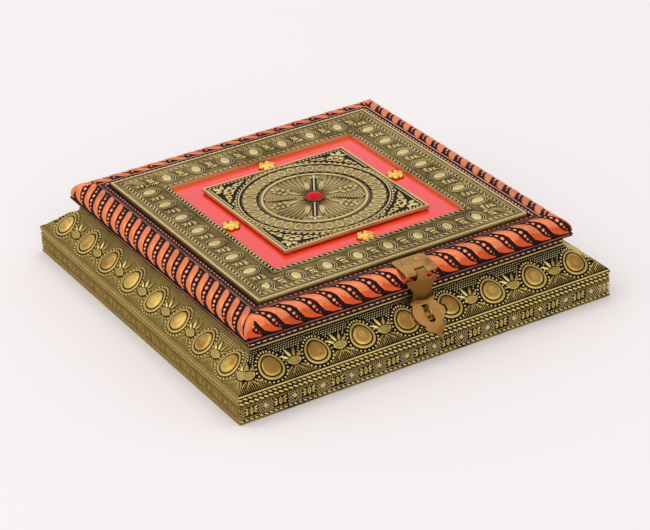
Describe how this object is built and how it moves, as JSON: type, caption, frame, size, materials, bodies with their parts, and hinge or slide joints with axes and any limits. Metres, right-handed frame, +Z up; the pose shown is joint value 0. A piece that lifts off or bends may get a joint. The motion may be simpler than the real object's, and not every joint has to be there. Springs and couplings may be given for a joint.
{
  "type": "dry fruit box",
  "caption": "Flat square wooden dry fruit box in embossed brass and copper, with parted tray, hinged lid, hasp and staple.",
  "frame": {"origin": "middle of the flat underside of the base, on the surface it stands on", "axes": "+Z up, +Y towards the rear hinges, +X to the right as seen from the hasp side"},
  "size_m": [0.254, 0.2604, 0.0547],
  "materials": {
    "embossed_brass": "embossed, bright on the raised work and dark patina in the ground",
    "copper": "embossed copper, bright ribbons in a dark maroon ground",
    "plain_brass": "satin, worn",
    "gold": "bright gilt",
    "red_gloss": "high gloss",
    "red_stone": "polished cabochon",
    "carcase_wood": "plain board",
    "velvet": "short pile",
    "covering_cloth": "woven cloth, glued on"
  },
  "bodies": {
    "base": {"base_covering": "covering_cloth", "base_floor": "carcase_wood", "base_rail_front": "carcase_wood", "base_rail_right": "carcase_wood", "base_rail_back": "carcase_wood", "base_rail_left": "carcase_wood", "base_cladding_front": "embossed_brass", "base_cladding_right": "embossed_brass", "base_cladding_back": "embossed_brass", "base_cladding_left": "embossed_brass", "floor_lining": "velvet", "wall_lining": "velvet", "partition_long": "velvet", "partition_cross": "velvet", "staple_plate": "plain_brass", "staple": "plain_brass", "staple_nails": "plain_brass", "hinge_base_leaf_left": "plain_brass", "hinge_base_leaf_right": "plain_brass", "hinge_pin_left": "plain_brass", "hinge_pin_right": "plain_brass", "hinge_screws_base": "plain_brass"},
    "lid": {"lid_board": "carcase_wood", "lid_rail_front": "carcase_wood", "lid_rail_right": "carcase_wood", "lid_rail_back": "carcase_wood", "lid_rail_left": "carcase_wood", "lid_cladding_front": "copper", "lid_cladding_right": "copper", "lid_cladding_back": "copper", "lid_cladding_left": "copper", "frame_strip_front": "carcase_wood", "frame_strip_right": "carcase_wood", "frame_strip_back": "carcase_wood", "frame_strip_left": "carcase_wood", "frame_cladding_front": "embossed_brass", "frame_cladding_right": "embossed_brass", "frame_cladding_back": "embossed_brass", "frame_cladding_left": "embossed_brass", "red_panel": "red_gloss", "tile_feet": "carcase_wood", "tile_board": "carcase_wood", "centre_tile": "embossed_brass", "stone_bezel": "embossed_brass", "centre_stone": "red_stone", "rosette_front": "gold", "rosette_right": "gold", "rosette_back": "gold", "rosette_left": "gold", "lid_lining": "velvet", "hinge_lid_leaf_left": "plain_brass", "hinge_lid_leaf_right": "plain_brass", "hinge_screws_lid": "plain_brass", "hasp_plate": "plain_brass", "hasp_nails": "plain_brass", "hasp_dome_nail": "plain_brass", "hasp_pin": "plain_brass"},
    "hasp": {"hasp_leaf": "plain_brass"}
  },
  "joints": [
    {"name": "lid_hinge", "type": "hinge", "parent": "base", "child": "lid", "pos_m": [0, 0.1132, 0.03845], "axis": [-1, 0, 0], "range_deg": [0, 110]},
    {"name": "hasp_hinge", "type": "hinge", "parent": "lid", "child": "hasp", "pos_m": [0.0032, -0.1118, 0.049], "axis": [-1, 0, 0], "range_deg": [0, 170]}
  ]
}
